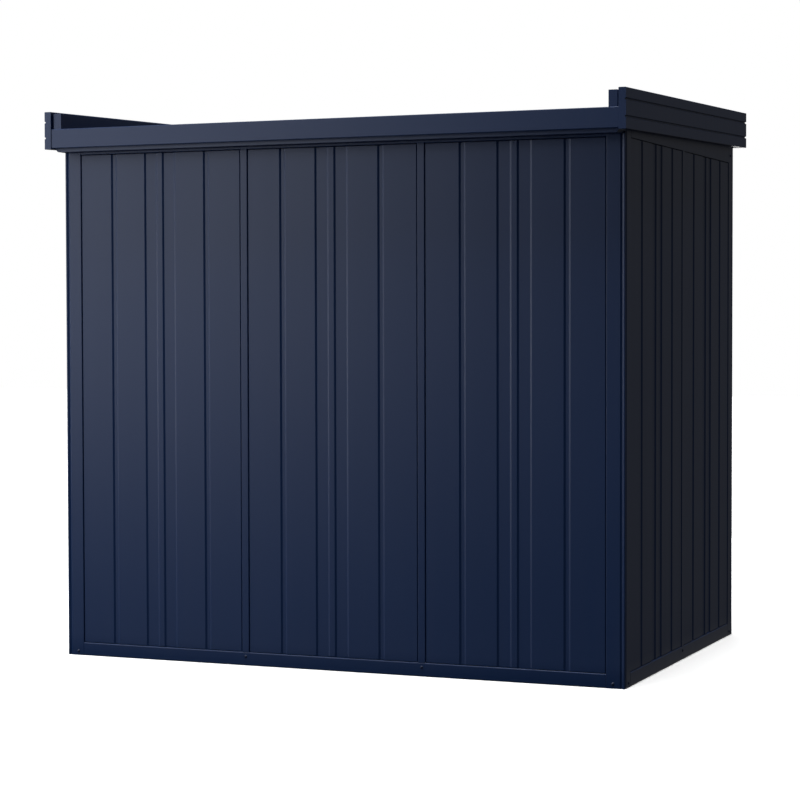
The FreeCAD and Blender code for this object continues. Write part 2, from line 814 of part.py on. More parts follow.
def hinge_half(height, on_door):
    """One half of a lift-off hinge on the right side; the frame half carries the pin."""
    axis = on_wall("front", hinge_axis, -hinge_axis_out, height)
    low, high = height - hinge_height / 2, height + hinge_height / 2
    split_low, split_high = height - hinge_play / 2, height + hinge_play / 2
    side = -1 if on_door else 1
    z0, z1 = (split_high, high) if on_door else (low, split_low)
    knuckle = rod(knuckle_radius, Vec(axis.x, axis.y, z0), Vec(axis.x, axis.y, z1))
    flap = wall_box("front", hinge_axis + side * hinge_flap_start, hinge_axis + side * hinge_flap,
                    -hinge_plate, 0, low, high)
    tab = wall_box("front", hinge_axis + side * 1.5, hinge_axis + side * (hinge_flap_start + 1),
                   -hinge_plate, 0, z0, z1)
    tab_root = wall_box("front", hinge_axis + side * 2, hinge_axis + side * 6,
                        -hinge_axis_out + 3, 0, z0, z1)
    half = fused([knuckle, flap, tab, tab_root])
    pin_top = high - pin_radius
    if on_door:
        bore_end = Vec(axis.x, axis.y, pin_top + hinge_play)
        return half.cut(rod(pin_radius + running_clearance, Vec(axis.x, axis.y, low), bore_end))
    return fused([half, rod(pin_radius, Vec(axis.x, axis.y, z0), Vec(axis.x, axis.y, pin_top))])


def frame_seal():
    """Rubber stops on the jambs and under the header, which the closed leaves rest near."""
    v0, v1 = leaf_depth + seal_gap, leaf_depth + seal_gap + seal_size
    half = door_opening / 2
    strip = wall_box("front", half - seal_size, half, v0, v1, rail_height, header_bottom)
    top = wall_box("front", seal_size - half, half - seal_size, v0, v1,
                   header_bottom - seal_size, header_bottom)
    return [strip, mirrored(strip), top]


def meeting_seal():
    """A rubber strip on the right leaf's meeting edge, clear of the left leaf."""
    start = meeting_seal_start
    return wall_box("front", meeting_edge - meeting_seal_width, meeting_edge, start, start + seal_size,
                    leaf_bottom, leaf_top)


def rod_guide(x, height):
    """A block on the stile with a running bore for a rod."""
    reach = rod_depth + rod_radius + rod_cover
    block = wall_box("front", x - guide_width / 2, x + guide_width / 2, leaf_depth, reach,
                     height - guide_height / 2, height + guide_height / 2)
    start = on_wall("front", x, rod_depth, height - guide_height)
    end = on_wall("front", x, rod_depth, height + guide_height)
    return block.cut(rod(rod_radius + running_clearance, start, end))


def upright_rod(x, low, high):
    """A round locking rod with a rounded tip at each end."""
    shape = rod(rod_radius, on_wall("front", x, rod_depth, low), on_wall("front", x, rod_depth, high))
    ends = [e for e in shape.Edges if isinstance(e.Curve, Part.Circle)]
    return shape.makeChamfer(rod_radius / 4, ends)


def lock_case():
    """The rim lock on the inner face, open towards the leaf, with the rods' entries."""
    left = meeting_edge + lock_case_left
    right = left + lock_case_width
    low, high = lock_rail_bottom, lock_rail_top
    back = leaf_depth + lock_case_depth
    wall = lock_case_wall
    case = wall_box("front", left, right, leaf_depth, back, low, high)
    edges = [e for e in case.Edges if abs(e.BoundBox.YMax - e.BoundBox.YMin) < 1e-6
             and e.BoundBox.YMax > back - half_depth - 1e-6]
    case = case.makeFillet(wall, edges)
    case = case.cut(wall_box("front", left + wall, right - wall, leaf_depth - 1, back - wall,
                             low + wall, high - wall))
    start = on_wall("front", rod_x, rod_depth, low - 1)
    end = on_wall("front", rod_x, rod_depth, high + 1)
    case = case.cut(rod(rod_radius + running_clearance, start, end))
    start = on_wall("front", spindle_x, leaf_depth, handle_height)
    end = on_wall("front", spindle_x, back + 1, handle_height)
    return case.cut(rod(neck_radius + running_clearance, start, end))


def escutcheon():
    """The outside plate with bores for the lever's neck and the lock plug."""
    low = cylinder_height - escutcheon_margin
    high = handle_height + escutcheon_margin
    half = escutcheon_width / 2
    outline = [(spindle_x - half, low), (spindle_x + half, low),
               (spindle_x + half, high), (spindle_x - half, high)]
    face = rounded_face([(*p, escutcheon_round) for p in outline], lambda x, z: on_wall("front", x, 0, z))
    plate = face.extrude(Vec(0, -escutcheon_plate, 0))
    rim = [e for e in plate.Edges if e.BoundBox.YMax < -half_depth - escutcheon_plate + 1e-6]
    plate = plate.makeFillet(1.5, rim)
    return leaf_holes(plate, neck_radius + running_clearance, plug_radius + running_clearance)


def lever(v_neck, v_bar, side):
    """A lever's neck and bar; side is -1 outside and 1 inside."""
    neck = rod(neck_radius, on_wall("front", spindle_x, v_neck, handle_height),
               on_wall("front", spindle_x, v_bar, handle_height))
    near = v_bar - side * lever_thickness
    bar = wall_box("front", spindle_x - lever_height / 2, spindle_x + lever_length, near, v_bar,
                   handle_height - lever_height / 2, handle_height + lever_height / 2)
    bar = bar.makeFillet(lever_thickness / 2 - 1, bar.Edges)
    return fused([neck, bar])


def door_handle():
    """Both levers on one spindle."""
    back = leaf_depth + lock_case_depth
    outside = lever(-escutcheon_plate + 4, -escutcheon_plate - lever_reach, -1)
    inside = lever(back - 1, back + lever_reach, 1)
    spindle = rod(spindle_radius, on_wall("front", spindle_x, -escutcheon_plate, handle_height),
                  on_wall("front", spindle_x, back + 5, handle_height))
    return fused([outside, spindle, inside])


def lock_plug():
    """The turning plug of the cylinder, with a keyway."""
    front = -escutcheon_plate - plug_proud + 5
    end = leaf_depth + lock_case_depth / 2
    plug = rod(plug_radius, on_wall("front", spindle_x, front, cylinder_height),
               on_wall("front", spindle_x, end, cylinder_height))
    half = keyway_width / 2
    return plug.cut(wall_box("front", spindle_x - half, spindle_x + half, front - 1, front + keyway_depth,
                             cylinder_height - plug_radius * 0.7, cylinder_height + plug_radius * 0.7))


def shoot_bolt(low, high, knob_height):
    """A shoot bolt of the left leaf with a finger knob."""
    bolt = upright_rod(-rod_x, low, high)
    knob = rod(knob_radius, on_wall("front", -rod_x, rod_depth, knob_height),
               on_wall("front", -rod_x, rod_depth + knob_length, knob_height))
    return fused([bolt, knob])


passage = neck_radius + passage_clearance
pieces["active_leaf_skin"] = leaf_holes(leaf_skin(), passage, passage)
pieces["active_leaf_frame"] = leaf_holes(leaf_frame(), passage, passage)
pieces["passive_leaf_skin"] = mirrored(leaf_skin())
pieces["passive_leaf_frame"] = mirrored(leaf_frame())
door_halves = [hinge_half(height, True) for height in hinge_heights()]
frame_halves = [hinge_half(height, False) for height in hinge_heights()]
pieces["active_hinge_halves"] = Part.makeCompound(door_halves)
pieces["passive_hinge_halves"] = Part.makeCompound([mirrored(half) for half in door_halves])
pieces["frame_hinge_halves"] = Part.makeCompound(frame_halves + [mirrored(half) for half in frame_halves])
pieces["door_seals"] = Part.makeCompound(frame_seal())
pieces["meeting_seal"] = meeting_seal()
pieces["lock_case"] = lock_case()
pieces["escutcheon"] = escutcheon()
pieces["door_handle"] = door_handle()
pieces["lock_plug"] = lock_plug()

rest_low, rest_high = leaf_bottom + rod_rest_gap, leaf_top - rod_rest_gap
pieces["locking_rod_upper"] = upright_rod(rod_x, lock_rail_top - rod_in_case, rest_high)
pieces["locking_rod_lower"] = upright_rod(rod_x, rest_low, lock_rail_bottom + rod_in_case)
active_guides = (leaf_bottom + guide_end_distance, lock_rail_bottom - guide_lock_distance,
                 lock_rail_top + guide_lock_distance, leaf_top - guide_end_distance)
pieces["active_rod_guides"] = Part.makeCompound([rod_guide(rod_x, z) for z in active_guides])

pieces["shoot_bolt_upper"] = shoot_bolt(rest_high - bolt_length, rest_high, rest_high - bolt_length / 2)
pieces["shoot_bolt_lower"] = shoot_bolt(rest_low, rest_low + bolt_length, rest_low + bolt_length / 2)
passive_guides = (leaf_bottom + guide_end_distance, leaf_bottom + bolt_length - guide_height,
                  leaf_top - bolt_length + guide_height, leaf_top - guide_end_distance)
pieces["passive_bolt_guides"] = Part.makeCompound([rod_guide(-rod_x, z) for z in passive_guides])

os.makedirs("parts", exist_ok=True)
for name, shape in pieces.items():
    shape.exportStep("parts/" + name + ".step")
    if not shape.isValid():
        raise ValueError(name + " is not a valid shape")
print(len(pieces), "pieces")
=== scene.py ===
import math

import bmesh
import bpy
from bpy.props import FloatProperty, FloatVectorProperty, PointerProperty
from mathutils import Matrix, Vector


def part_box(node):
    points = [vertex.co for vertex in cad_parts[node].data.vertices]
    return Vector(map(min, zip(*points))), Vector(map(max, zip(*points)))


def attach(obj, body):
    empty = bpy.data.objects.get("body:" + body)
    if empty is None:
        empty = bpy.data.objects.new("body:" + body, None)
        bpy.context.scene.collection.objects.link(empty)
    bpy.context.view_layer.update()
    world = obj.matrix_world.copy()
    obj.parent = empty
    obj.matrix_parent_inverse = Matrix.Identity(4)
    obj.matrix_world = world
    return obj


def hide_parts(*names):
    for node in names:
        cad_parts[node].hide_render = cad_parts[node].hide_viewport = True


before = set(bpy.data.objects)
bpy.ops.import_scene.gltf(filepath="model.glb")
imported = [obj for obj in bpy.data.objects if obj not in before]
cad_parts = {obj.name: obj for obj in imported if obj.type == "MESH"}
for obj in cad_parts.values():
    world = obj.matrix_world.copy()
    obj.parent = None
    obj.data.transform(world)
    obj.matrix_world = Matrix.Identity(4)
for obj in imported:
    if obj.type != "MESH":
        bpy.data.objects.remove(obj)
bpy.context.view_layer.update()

bl_info = {
    "name": "Panel Store Finishing",
    "version": (1, 0, 0),
    "blender": (4, 5, 0),
    "location": "3D View > Sidebar > Store",
    "description": "Powder coat, ironmongery, screws and a studio for a steel panel store",
    "category": "Object",
}

MM = 0.001
UP = Vector((0.0, 0.0, 1.0))
OUT = Vector((0.0, -1.0, 0.0))       # outwards from the door wall
ALONG = 0.99                         # cosine past which a face counts as pointing along a direction
STAND_OFF = 50 * MM                  # a ray starts this far outside the surface that it looks for
MERGE = 0.001 * MM                   # vertices of one shell lie nearer than this
FAR = 200.0                          # metres; the camera sees no further
FLAP_SCREWS = (0.16, 0.5, 0.84)      # places of a hinge flap's screws, in shares of its height
ROOF_RIBS = 3                        # of one roof sheet; the screws stand between them


# ---- Sizes and colours that a user would change ------------------------------------------
def length(name, about, default):
    """A length property, given in millimetres."""
    return FloatProperty(name=name, description=about, default=default * MM, min=0.0,
                         unit="LENGTH", precision=4)


def colour(name, about, default):
    """A colour property."""
    return FloatVectorProperty(name=name, description=about, default=default, size=3,
                               min=0.0, max=1.0, subtype="COLOR")


def spot(name, about, default):
    """A place in the frame, in metres."""
    return FloatVectorProperty(name=name, description=about, default=default, subtype="TRANSLATION")


def power(name, about, default):
    """Power of a lamp, in watts."""
    return FloatProperty(name=name, description=about, default=default, min=0.0, unit="POWER")


def angle(name, about, degrees):
    """An angle, given in degrees."""
    return FloatProperty(name=name, description=about, default=math.radians(degrees), subtype="ANGLE")


def share(name, about, default):
    """A property from 0 to 1."""
    return FloatProperty(name=name, description=about, default=default, min=0.0, max=1.0,
                         subtype="FACTOR")


class StoreFinishes(bpy.types.PropertyGroup):
    """Colours and gloss of every finish."""

    coat: colour("Powder coat", "Dark blue of walls, frame and trim", (0.0042, 0.0288, 0.114))
    roof: colour("Roof coat", "Coil coating of the roof sheets", (0.018, 0.036, 0.080))
    dust: colour("Dust", "What settles on the paint outdoors", (0.30, 0.27, 0.23))
    steel: colour("Steel", "Bare stainless steel", (0.62, 0.61, 0.59))
    zinc: colour("Zinc", "Zinc plate on rods and screws", (0.60, 0.62, 0.65))
    plastic: colour("Plastic", "Moulded guides and lock case", (0.022, 0.022, 0.024))
    rubber: colour("Rubber", "Seals and washers", (0.014, 0.014, 0.015))
    coat_roughness: share("Coat roughness", "Satin powder coat, from mirror to matt", 0.44)
    splash_height: length("Splash height", "How high rain splashes dust on the walls", 385.0)
    # Damp height: how high the paint is darker and glossier towards the bottom
    darkening_height: length("Damp height", "How high the paint is damp and glossier", 91.0)
    soiling: share("Soiling", "How much dust and rain have left on the paint", 0.35)


class StoreFittings(bpy.types.PropertyGroup):
    """Sizes of the small fittings."""

    lever_width: length("Lever width", "Side of a lever's square neck", 17.0)
    lever_depth: length("Lever depth", "Front to back of a lever's grip", 11.0)
    lever_return: length("Lever return", "How far a lever's tip turns back to the door", 16.0)
    lever_round: length("Lever rounding", "Width of the bevel on a lever's edges", 2.2)
    spindle_place: length("Spindle place", "From the lever's left end to its spindle", 10.0)
    spindle_width: length("Spindle width", "Side of the square spindle", 7.0)
    plug_round: length("Plug rounding", "Bevel on the key plug's rim", 0.9)
    plug_rim: length("Plug rim", "Width of the raised rim on the key plug", 1.4)
    plug_recess: length("Plug recess", "Depth of the key plug's face inside its rim", 0.4)
    keyway_width: length("Keyway width", "Width of the slot for the key", 1.4)
    keyway_height: length("Keyway height", "Height of the slot for the key", 8.0)
    keyway_depth: length("Keyway depth", "Depth of the slot for the key", 4.5)
    plate_inset: length("Plate inset", "From the escutcheon's end to its screw", 9.0)
    case_inset: length("Case inset", "From the lock case's edges to its screws", 8.0)
    screw_radius: length("Screw head", "Radius of a pan head", 3.6)
    screw_height: length("Screw height", "Height of a pan head", 2.2)
    screw_inset: length("Screw inset", "From a hinge flap's free edge to its screws", 11.5)
    knuckle: length("Knuckle", "Radius of a hinge knuckle", 8.0)
    roof_inset: length("Roof inset", "From a beam's or a sheet's edge to its row of screws", 14.0)
    roof_screw: length("Roof screw", "Across the flats of a roof screw's head", 8.0)
    roof_washer: length("Roof washer", "Radius of a roof screw's washer", 8.0)
    cap_height: length("Hinge cap", "Height of the dome on a hinge knuckle", 3.5)


class StoreStudio(bpy.types.PropertyGroup):
    """Lights, floor and camera."""

    key_power: power("Key light", "Soft box at the rear", 82.0)
    key_size: length("Key size", "Side of the square soft box", 3800.0)
    key_place: spot("Key place", "Middle of the soft box", (2.9, 3.95, 2.44))
    key_aim: spot("Key aim", "Where the soft box points", (0.0, 0.78, 1.0))
    edge_power: power("Edge light", "Light along the rear wall", 30.0)
    edge_size: length("Edge size", "Side of the square edge light", 1600.0)
    edge_place: spot("Edge place", "Middle of the edge light", (6.0, 1.9, 1.3))
    edge_aim: spot("Edge aim", "Where the edge light points", (0.0, 0.78, 1.2))
    fill_power: power("Fill light", "Weak light on the doors", 60.0)
    fill_size: length("Fill size", "Side of the square fill light", 2500.0)
    fill_place: spot("Fill place", "Middle of the fill light", (0.9, -4.6, 1.2))
    fill_aim: spot("Fill aim", "Where the fill light points", (0.0, -0.78, 1.0))
    top_strength: FloatProperty(name="Top light", description="Strength of the overhead light",
                                default=3.3, min=0.0)
    top_angle: angle("Top angle", "How soft the overhead light is", 24.0)
    top_place: spot("Top place", "The overhead light shines from here to the middle", (0.4, 0.6, 8.0))
    surroundings: share("Surroundings", "Brightness of the room around the store", 0.152)
    bright_way: spot("Bright way", "Way to the brightest part of the room", (0.25, -0.55, 0.80))
    floor_size: length("Floor", "Side of the square floor", 60000.0)
    floor_glow: share("Floor glow", "The floor's own light around the store", 0.55)
    floor_fade: length("Floor fade", "Over what distance the glow sets in at the walls", 5.0)
    camera_place: spot("Camera place", "Where the camera stands", (-3.506, 8.524, 1.330))
    camera_yaw: angle("Yaw", "Turn of the camera from the rear wall's normal", 22.611)
    camera_pitch: angle("Pitch", "Tilt of the camera downwards", 1.94)
    camera_roll: angle("Roll", "Turn of the camera about its own axis", 0.129)
    camera_lens: FloatProperty(name="Lens", description="Focal length in millimetres", default=100.75,
                               min=1.0)
    camera_shift: FloatVectorProperty(name="Shift", description="Shift of the picture, in its widths",
                                      default=(0.0005, -0.003), size=2)


# ---- Shader maths ------------------------------------------------------------------------
class Wire:
    """A socket in a node tree; Python's operators on it add Math nodes."""

    def __init__(self, nodes, socket):
        self.nodes = nodes
        self.socket = socket

    def maths(self, operation, *terms, clamped=False):
        settings = {"operation": operation, "use_clamp": clamped}
        return self.nodes.add("ShaderNodeMath", settings, dict(enumerate(terms)))

    def __add__(self, other):
        return self.maths("ADD", self, other)

    def __sub__(self, other):
        return self.maths("SUBTRACT", self, other)

    def __rsub__(self, other):
        return self.maths("SUBTRACT", other, self)

    def __mul__(self, other):
        return self.maths("MULTIPLY", self, other)

    def __truediv__(self, other):
        return self.maths("DIVIDE", self, other)

    def __pow__(self, other):
        return self.maths("POWER", self, other)

    def clamped(self):
        return self.maths("ADD", self, 0.0, clamped=True)


class Nodes:
    """A node tree that is filled from code."""

    def __init__(self, tree):
        self.tree = tree
        tree.nodes.clear()

    def add(self, kind, settings=None, inputs=None, output=0):
        """Adds a node: its settings first, then a value or a wire for each named input."""
        node = self.tree.nodes.new(kind)
        for name, value in (settings or {}).items():
            if name == "stops":
                self.set_stops(node.color_ramp, value)
            else:
                setattr(node, name, value)
        for name, value in (inputs or {}).items():
            socket = node.inputs[name]
            if isinstance(value, Wire):
                self.tree.links.new(value.socket, socket)
            else:
                socket.default_value = value
        return Wire(self, node.outputs[output]) if len(node.outputs) else None

    @staticmethod
    def set_stops(ramp, stops):
        """Gives a ramp its stops: (place, grey)."""
        while len(ramp.elements) < len(stops):
            ramp.elements.new(1.0)
        for element, (place, grey) in zip(ramp.elements, stops):
            element.position = place
            element.color = (grey, grey, grey, 1.0)

    def mix(self, first, second, factor):
        """A colour between two colours."""
        inputs = {0: factor, 6: rgba(first), 7: rgba(second)}
        return self.add("ShaderNodeMix", {"data_type": "RGBA", "clamp_factor": True}, inputs, output=2)

    def ramp(self, value, *stops):
        """A value looked up in a ramp of greys."""
        return self.add("ShaderNodeValToRGB", {"stops": stops}, {"Fac": value})


class Finish(Nodes):
    """A material whose patterns follow the Object coordinates, in metres."""

    def __init__(self, name):
        self.material = bpy.data.materials.new(name)
        self.material.use_nodes = True
        super().__init__(self.material.node_tree)
        self.place = self.add("ShaderNodeTexCoord", output="Object")

    def stretched(self, x, y, z):
        """The Object coordinates scaled along each axis."""
        return self.add("ShaderNodeMapping", {}, {"Vector": self.place, "Scale": (x, y, z)})

    def noise(self, scale, detail=2.0, roughness=0.5, place=None):
        """Cloudy noise from 0 to 1; scale is in features per metre."""
        inputs = {"Vector": place or self.place, "Scale": scale, "Detail": detail, "Roughness": roughness}
        return self.add("ShaderNodeTexNoise", {}, inputs)

    def cells(self, scale):
        """Cells of random colours; scale is in cells per metre."""
        inputs = {"Vector": self.place, "Scale": scale}
        return self.add("ShaderNodeTexVoronoi", {"feature": "F1"}, inputs, output="Color")

    def along(self, axis):
        """One of the Object coordinates."""
        return self.add("ShaderNodeSeparateXYZ", {}, {0: self.place}, output=axis)

    def beyond(self, axis, limit, fade):
        """0 as far as a limit on both sides of the middle, and 1 beyond it."""
        place = self.along(axis)
        return ((place.maths("ABSOLUTE", place) - limit) / fade).clamped()

    def edges(self, radius):
        """About 0 on flats and 1 on sharp edges."""
        rounded = self.add("ShaderNodeBevel", {"samples": 4}, {"Radius": radius})
        true = self.add("ShaderNodeNewGeometry", output="Normal")
        dot = self.add("ShaderNodeVectorMath", {"operation": "DOT_PRODUCT"}, {0: rounded, 1: true},
                       output="Value")
        return ((1.0 - dot) * 4.0).clamped()

    def bump(self, height, distance, under=None):
        """A normal bent by a height from 0 to 1 that stands for a real distance."""
        inputs = {"Height": height, "Distance": distance, "Strength": 1.0}
        if under is not None:
            inputs["Normal"] = under
        return self.add("ShaderNodeBump", {}, inputs)

    def surface(self, **sockets):
        """Closes the material with a Principled shader; names have _ for spaces."""
        inputs = {name.replace("_", " "): value for name, value in sockets.items()}
        shader = self.add("ShaderNodeBsdfPrincipled", {}, inputs)
        self.add("ShaderNodeOutputMaterial", {}, {"Surface": shader})
        return self.material


def rgba(value):
    """A colour with full alpha; a wire stays as it is."""
    return value if isinstance(value, Wire) else (*value, 1.0)


def scaled(value, factor):
    """A colour made lighter or darker."""
    return tuple(part * factor for part in value)


# ---- Finishes ----------------------------------------------------------------------------
def powder_coat(name, paint, options, roughness=0.0, soiling=1.0, edge_wear_and_highlight=0.15):
    """Satin powder coat: orange peel, drift of tone, rain marks, dust, a darker and glossier foot, and
    lighter edges that are partly worn paint and partly a painted highlight.
    """
    finish = Finish(name)
    drift = finish.noise(1.3, detail=3.0)
    speckle = finish.noise(520.0, detail=3.0, roughness=0.7)
    peel = finish.noise(380.0, detail=1.0)
    rain = finish.ramp(finish.noise(1.0, detail=5.0, place=finish.stretched(26.0, 26.0, 0.9)),
                       (0.47, 0.0), (0.80, 1.0))
    cloud = finish.noise(7.0, detail=6.0, roughness=0.65)
    splash = (1.0 - finish.along("Z") / options.splash_height).clamped() ** 2.0 * cloud
    film = ((rain * 0.35 + splash * 1.2) * (options.soiling * soiling)).clamped()
    # the paint turns darker and glossier towards the bottom, over the lowest few centimetres
    darkened = (1.0 - finish.along("Z") / options.darkening_height).clamped()
    # edge mask: sharp edges get lighter paint, partly a worn thin coat and partly a painted highlight
    edge = finish.edges(1.6 * MM) * (1.0 - darkened)
    tone = finish.mix(scaled(paint, 0.93), scaled(paint, 1.07), drift)
    tone = finish.mix(tone, scaled(paint, 1.22), (speckle - 0.5) * 0.5)
    tone = finish.mix(tone, options.dust, film * 0.05)
    # darker towards the bottom
    tone = finish.mix(tone, scaled(paint, 0.8), darkened)
    # lighter tone on the edges: worn paint and a painted highlight
    tone = finish.mix(tone, scaled(paint, 1.7), edge * edge_wear_and_highlight)
    gloss = (speckle - 0.5) * 0.10 + (drift - 0.5) * 0.05 + film * 0.16 - edge * 0.05 - darkened * 0.16
    return finish.surface(
        Base_Color=tone,
        Roughness=(gloss + (options.coat_roughness + roughness)).clamped(),
        Specular_IOR_Level=0.5,
        Normal=finish.bump(peel, 0.02 * MM, under=finish.bump(speckle, 0.006 * MM)),
    )


def roof_coat(name, options):
    """Coil coating with dried puddle rims and settled dust."""
    finish = Finish(name)
    drift = finish.noise(1.7, detail=4.0)
    grain = finish.noise(700.0, detail=2.0)
    puddle = finish.noise(3.2, detail=5.0, roughness=0.6)
    rims = finish.ramp(puddle, (0.44, 0.0), (0.49, 1.0), (0.52, 0.25), (0.62, 0.0))
    settled = finish.ramp(finish.noise(11.0, detail=7.0, roughness=0.7), (0.35, 0.0), (0.75, 1.0))
    film = ((rims * 0.45 + settled * 0.55) * (options.soiling * 1.6)).clamped()
    tone = finish.mix(scaled(options.roof, 0.9), scaled(options.roof, 1.12), drift)
    tone = finish.mix(tone, options.dust, film * 0.10)
    return finish.surface(
        Base_Color=tone,
        Roughness=((drift - 0.5) * 0.08 + film * 0.22 + 0.42).clamped(),
        Specular_IOR_Level=0.45,
        Normal=finish.bump(grain, 0.008 * MM),
    )


def brushed_steel(name, options):
    """Stainless steel brushed along X, with finger marks."""
    finish = Finish(name)
    lines = finish.noise(1.0, detail=3.0, place=finish.stretched(60.0, 2600.0, 2600.0))
    marks = finish.ramp(finish.noise(55.0, detail=4.0), (0.45, 0.0), (0.70, 1.0))
    tone = finish.mix(scaled(options.steel, 0.82), options.steel, lines)
    tone = finish.mix(tone, scaled(options.steel, 0.72), marks * 0.35)
    return finish.surface(
        Base_Color=tone,
        Metallic=1.0,
        Roughness=(lines * 0.16 + marks * 0.10 + 0.20).clamped(),
        Normal=finish.bump(lines, 0.012 * MM),
    )


def zinc_plate(name, options):
    """Bright zinc with a faint yellow passivation and fine spangle."""
    finish = Finish(name)
    spangle = finish.cells(260.0)
    drift = finish.noise(38.0, detail=4.0)
    tone = finish.mix(scaled(options.zinc, 0.84), options.zinc, drift)
    tone = finish.mix(tone, spangle, 0.08)
    rub = finish.ramp(finish.noise(1.0, detail=4.0, place=finish.stretched(900.0, 900.0, 30.0)),
                      (0.55, 0.0), (0.72, 1.0))
    return finish.surface(
        Base_Color=finish.mix(tone, scaled(options.zinc, 0.62), rub * 0.5),
        Metallic=0.95,
        Roughness=(drift * 0.16 + rub * 0.12 + 0.24).clamped(),
        Normal=finish.bump(drift, 0.01 * MM),
    )


def moulded_plastic(name, options):
    """Black glass-filled plastic with a spark-eroded grain."""
    finish = Finish(name)
    grain = finish.noise(1900.0, detail=2.0, roughness=0.6)
    sheen = finish.noise(24.0, detail=4.0)
    tone = finish.mix(scaled(options.plastic, 0.85), scaled(options.plastic, 1.5), sheen)
    tone = finish.mix(tone, options.dust, finish.ramp(sheen, (0.55, 0.0), (0.85, 1.0)) * 0.04)
    return finish.surface(
        Base_Color=tone,
        Roughness=(grain * 0.14 + sheen * 0.10 + 0.42).clamped(),
        Specular_IOR_Level=0.45,
        Normal=finish.bump(grain, 0.03 * MM),
    )


def seal_rubber(name, options):
    """Matt rubber with a chalky bloom."""
    finish = Finish(name)
    bloom = finish.ramp(finish.noise(75.0, detail=6.0, roughness=0.7), (0.45, 0.0), (0.85, 1.0))
    grain = finish.noise(1400.0, detail=1.0)
    tone = finish.mix(options.rubber, scaled(options.dust, 0.35), bloom * 0.16)
    return finish.surface(
        Base_Color=tone,
        Roughness=(bloom * 0.12 + grain * 0.06 + 0.62).clamped(),
        Specular_IOR_Level=0.3,
        Normal=finish.bump(grain, 0.02 * MM),
    )


def make_finishes():
    """Every finish by its material slot."""
    options = bpy.context.scene.store_finishes
    coat = options.coat
    return {
        "panel_paint": powder_coat("panel_paint_finish", coat, options),
        "frame_paint": powder_coat("frame_paint_finish", coat, options, roughness=-0.01),
        "trim_paint": powder_coat("trim_paint_finish", coat, options, roughness=0.02, soiling=1.3),
        "hinge_paint": powder_coat("hinge_paint_finish", coat, options, roughness=0.03, edge_wear_and_highlight=0.5),
        # the bolts get the same coat darkened to 0.55 with little edge lightening: painted shade on the domed
        # bolt heads
        "bolt_paint": powder_coat("bolt_paint_finish", scaled(coat, 0.55), options, roughness=0.10, edge_wear_and_highlight=0.1),
        "roof_paint": roof_coat("roof_paint_finish", options),
        "satin_steel": brushed_steel("satin_steel_finish", options),
        "zinc_steel": zinc_plate("zinc_steel_finish", options),
        "black_plastic": moulded_plastic("black_plastic_finish", options),
        "seal_rubber": seal_rubber("seal_rubber_finish", options),
    }


# ---- Modelling by hand, in code ----------------------------------------------------------
def begin(kind, name, **settings):
    """Adds a primitive with nothing else selected and opens it in edit mode."""
    bpy.ops.object.select_all(action="DESELECT")
    getattr(bpy.ops.mesh, "primitive_" + kind + "_add")(**settings)
    piece = bpy.context.object
    piece.name = name
    bpy.ops.object.mode_set(mode="EDIT")
    return piece


def pick(piece, wanted):
    """In edit mode, selects only the faces that the test wants."""
    bpy.ops.mesh.select_mode(type="FACE")
    bpy.ops.mesh.select_all(action="DESELECT")
    shape = bmesh.from_edit_mesh(piece.data)
    chosen = [face for face in shape.faces if wanted(face)]
    if not chosen:
        raise RuntimeError("nothing to select on " + piece.name)
    for face in chosen:
        face.select_set(True)
    bmesh.update_edit_mesh(piece.data)


def facing(direction):
    """Wants the faces that point along a direction."""
    return lambda face: face.normal.dot(direction) > ALONG


def pull(*offset):
    """Extrudes what is selected."""
    bpy.ops.mesh.extrude_region_move(TRANSFORM_OT_translate={"value": offset})


def modify(piece, kind, **settings):
    """Adds a modifier and applies it."""
    modifier = piece.modifiers.new(kind.title(), kind)
    for name, value in settings.items():
        setattr(modifier, name, value)
    bpy.ops.object.select_all(action="DESELECT")
    piece.select_set(True)
    bpy.context.view_layer.objects.active = piece
    bpy.ops.object.modifier_apply(modifier=modifier.name)


def cut_with(piece, tool):
    """Takes one closed shape out of another and throws the tool away."""
    modify(piece, "BOOLEAN", operation="DIFFERENCE", object=tool, solver="EXACT")
    bpy.data.objects.remove(tool)


def leave_edit():
    """Back to object mode with the normals outwards."""
    bpy.ops.mesh.select_all(action="SELECT")
    bpy.ops.mesh.normals_make_consistent(inside=False)
    bpy.ops.object.mode_set(mode="OBJECT")


def settle(piece, body, slot, smooth=35.0):
    """Applies the place, smooths, gives the finish and rides the body."""
    bpy.ops.object.select_all(action="DESELECT")
    piece.select_set(True)
    bpy.context.view_layer.objects.active = piece
    bpy.ops.object.transform_apply(location=True, rotation=True, scale=True)
    bpy.ops.object.shade_smooth_by_angle(angle=math.radians(smooth))
    piece.data.materials.clear()
    piece.data.materials.append(finishes[slot])
    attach(piece, body)


def repeat(model, name, places):
    """One piece made of a copy of the model at every place; the model goes."""
    copies = []
    for place in places:
        copy = model.copy()
        copy.data = model.data.copy()
        copy.matrix_world = place @ model.matrix_world
        bpy.context.scene.collection.objects.link(copy)
        copies.append(copy)
    bpy.data.objects.remove(model)
    bpy.ops.object.select_all(action="DESELECT")
    for copy in copies:
        copy.select_set(True)
    bpy.context.view_layer.objects.active = copies[0]
    bpy.ops.object.transform_apply(location=True, rotation=True, scale=True)
    bpy.ops.object.join()
    copies[0].name = name
    return copies[0]


def at(place, outward=UP):
    """A matrix that moves a model to a place and turns its Z axis to point outward."""
    return Matrix.Translation(place) @ UP.rotation_difference(outward).to_matrix().to_4x4()


